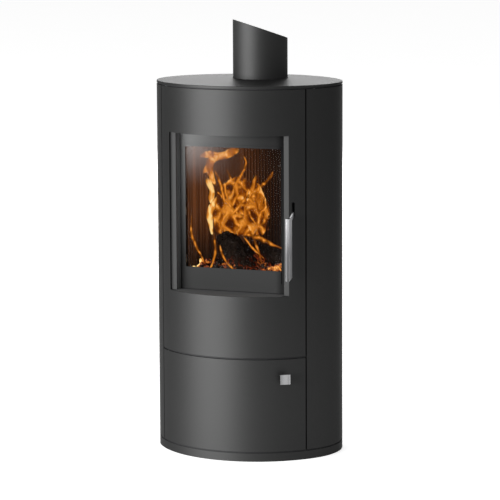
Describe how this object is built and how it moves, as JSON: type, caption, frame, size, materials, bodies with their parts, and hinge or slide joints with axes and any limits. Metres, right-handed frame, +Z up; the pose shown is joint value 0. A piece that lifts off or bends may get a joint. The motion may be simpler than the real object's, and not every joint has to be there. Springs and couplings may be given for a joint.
{
  "type": "wood burning stove",
  "caption": "Oval free-standing wood burning stove with a curved fire door and window, a lower door, ash drawer, air control and a short flue pipe on top.",
  "frame": {"origin": "centre of the oval plan on the floor, under the plinth", "axes": "+Z up, -Y towards the person in front of the doors, +X towards the handle side"},
  "size_m": [0.5158, 0.43, 1.169],
  "materials": {
    "black_paint": "matt heat-proof anthracite paint",
    "inner_black": "matt black heat-proof paint",
    "stainless": "brushed stainless steel",
    "zinc": "zinc-plated steel",
    "casting": "raw cast iron",
    "vermiculite": "pressed vermiculite, fire-stained",
    "glass": "clear heat-proof glass-ceramic",
    "seal": "graphited glass-fibre rope",
    "wood": "charred split firewood",
    "embers": "glowing embers and ash",
    "magnet": "magnet in a dark housing"
  },
  "bodies": {
    "stove_body": {"plinth": "black_paint", "base_plate": "inner_black", "levelling_feet": "zinc", "divider_plate": "inner_black", "top_plate": "inner_black", "top_cover": "black_paint", "left_side_panel": "black_paint", "right_side_panel": "black_paint", "rear_panel": "black_paint", "rear_heat_shield": "zinc", "front_frame": "inner_black", "compartment_frame": "inner_black", "compartment_liner": "inner_black", "firebox_shell": "inner_black", "flue_spigot": "inner_black", "flue_pipe": "black_paint", "baffle": "vermiculite", "rear_lining": "vermiculite", "left_lining": "vermiculite", "right_lining": "vermiculite", "corner_linings": "vermiculite", "floor_bricks": "vermiculite", "grate": "casting", "log_guard": "casting", "ash_runners": "zinc", "air_plenum": "zinc", "air_inlet_duct": "zinc", "air_inlet_spigot": "zinc", "hinge_pins": "zinc", "hinge_washers": "zinc", "latch_keeper": "zinc", "magnet_catch": "magnet", "logs": "wood", "ember_bed": "embers", "case_screws": "zinc"},
    "fire_door": {"fire_door_skin": "black_paint", "fire_door_ribs": "inner_black", "window_surround": "black_paint", "glass_retainer_upper": "black_paint", "glass_retainer_lower": "black_paint", "door_glass": "glass", "glass_gasket": "seal", "door_back_frame": "inner_black", "door_seal_rope": "seal", "glass_clips": "zinc", "glass_clip_screws": "zinc", "latch_bracket": "inner_black", "latch_pin": "zinc"},
    "door_handle": {"handle_bar": "stainless", "latch_lever": "stainless"},
    "lower_door": {"lower_door_skin": "black_paint", "lower_door_ribs": "inner_black", "knob_stem": "stainless", "square_knob": "stainless", "strike_plate": "zinc"},
    "ash_box": {"ash_drawer": "zinc", "ash_drawer_front": "inner_black", "ash_drawer_pull": "stainless"},
    "air_control": {"air_shutter": "zinc", "air_knob": "stainless"}
  },
  "joints": [
    {"name": "fire_door_hinge", "type": "hinge", "parent": "stove_body", "child": "fire_door", "pos_m": [-0.1886, -0.12903, 0.64], "axis": [0, 0, -1], "range_deg": [0, 110]},
    {"name": "handle_turn", "type": "hinge", "parent": "fire_door", "child": "door_handle", "pos_m": [0.1805, -0.122, 0.68], "axis": [-1, 0, 0], "range_deg": [0, 30]},
    {"name": "lower_door_hinge", "type": "hinge", "parent": "stove_body", "child": "lower_door", "pos_m": [-0.1886, -0.12903, 0.15], "axis": [0, 0, -1], "range_deg": [0, 110]},
    {"name": "ash_box_slide", "type": "slide", "parent": "stove_body", "child": "ash_box", "axis": [0, -1, 0], "range_m": [0, 0.04]},
    {"name": "air_control_slide", "type": "slide", "parent": "stove_body", "child": "air_control", "axis": [-1, 0, 0], "range_m": [0, 0.028]}
  ]
}
